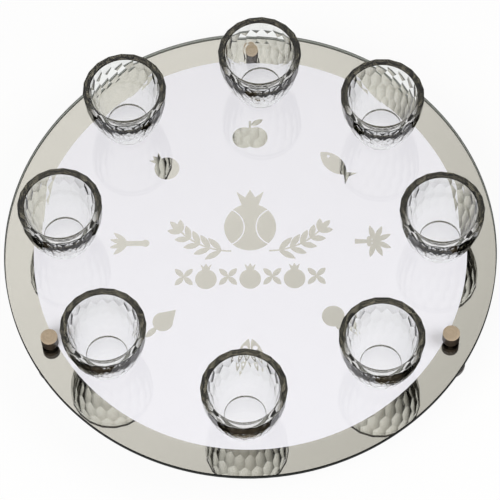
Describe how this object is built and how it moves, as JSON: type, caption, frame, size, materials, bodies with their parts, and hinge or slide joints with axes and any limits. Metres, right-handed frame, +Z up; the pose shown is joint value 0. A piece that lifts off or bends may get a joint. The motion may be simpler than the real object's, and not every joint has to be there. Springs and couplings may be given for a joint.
{
  "type": "rosh hashanah plate",
  "caption": "Round mirror-backed glass serving plate on short metal legs, with a white printed disc and loose pressed-glass bowls standing in a ring for symbolic foods.",
  "frame": {"origin": "on the table, under the middle of the plate", "axes": "+Z up from the table, +Y towards the back leg, +X towards the bowl on the right"},
  "size_m": [0.35, 0.35, 0.0967],
  "materials": {
    "clear_glass": "polished float glass",
    "white_print": "opaque white screen print behind the glass",
    "silver_mirror": "silvered back of the glass",
    "backing_paint": "satin protective paint",
    "pressed_glass": "pressed clear glass with facets",
    "turned_nickel": "turned warm nickel top, blackened wall",
    "leg_nickel": "turned and blackened",
    "stud_steel": "zinc-plated",
    "nylon": "black nylon",
    "rubber": "matt black"
  },
  "bodies": {
    "plate": {"glass_disc": "clear_glass", "white_print": "white_print", "mirror_coat": "silver_mirror", "backing_paint": "backing_paint", "cap_back": "turned_nickel", "cap_washer_back": "nylon", "sleeve_back": "nylon", "stud_back": "stud_steel", "leg_washer_back": "rubber", "leg_back": "leg_nickel", "pad_back": "rubber", "cap_left": "turned_nickel", "cap_washer_left": "nylon", "sleeve_left": "nylon", "stud_left": "stud_steel", "leg_washer_left": "rubber", "leg_left": "leg_nickel", "pad_left": "rubber", "cap_right": "turned_nickel", "cap_washer_right": "nylon", "sleeve_right": "nylon", "stud_right": "stud_steel", "leg_washer_right": "rubber", "leg_right": "leg_nickel", "pad_right": "rubber"},
    "bowl_back": {"bowl_back": "pressed_glass"},
    "bowl_back_left": {"bowl_back_left": "pressed_glass"},
    "bowl_left": {"bowl_left": "pressed_glass"},
    "bowl_front_left": {"bowl_front_left": "pressed_glass"},
    "bowl_front": {"bowl_front": "pressed_glass"},
    "bowl_front_right": {"bowl_front_right": "pressed_glass"},
    "bowl_right": {"bowl_right": "pressed_glass"},
    "bowl_back_right": {"bowl_back_right": "pressed_glass"}
  },
  "joints": [
    {"name": "lift_back", "type": "slide", "parent": "plate", "child": "bowl_back", "axis": [0, 0, 1], "range_m": [0, 0.06]},
    {"name": "lift_back_left", "type": "slide", "parent": "plate", "child": "bowl_back_left", "axis": [0, 0, 1], "range_m": [0, 0.06]},
    {"name": "lift_left", "type": "slide", "parent": "plate", "child": "bowl_left", "axis": [0, 0, 1], "range_m": [0, 0.06]},
    {"name": "lift_front_left", "type": "slide", "parent": "plate", "child": "bowl_front_left", "axis": [0, 0, 1], "range_m": [0, 0.06]},
    {"name": "lift_front", "type": "slide", "parent": "plate", "child": "bowl_front", "axis": [0, 0, 1], "range_m": [0, 0.06]},
    {"name": "lift_front_right", "type": "slide", "parent": "plate", "child": "bowl_front_right", "axis": [0, 0, 1], "range_m": [0, 0.06]},
    {"name": "lift_right", "type": "slide", "parent": "plate", "child": "bowl_right", "axis": [0, 0, 1], "range_m": [0, 0.06]},
    {"name": "lift_back_right", "type": "slide", "parent": "plate", "child": "bowl_back_right", "axis": [0, 0, 1], "range_m": [0, 0.06]}
  ]
}
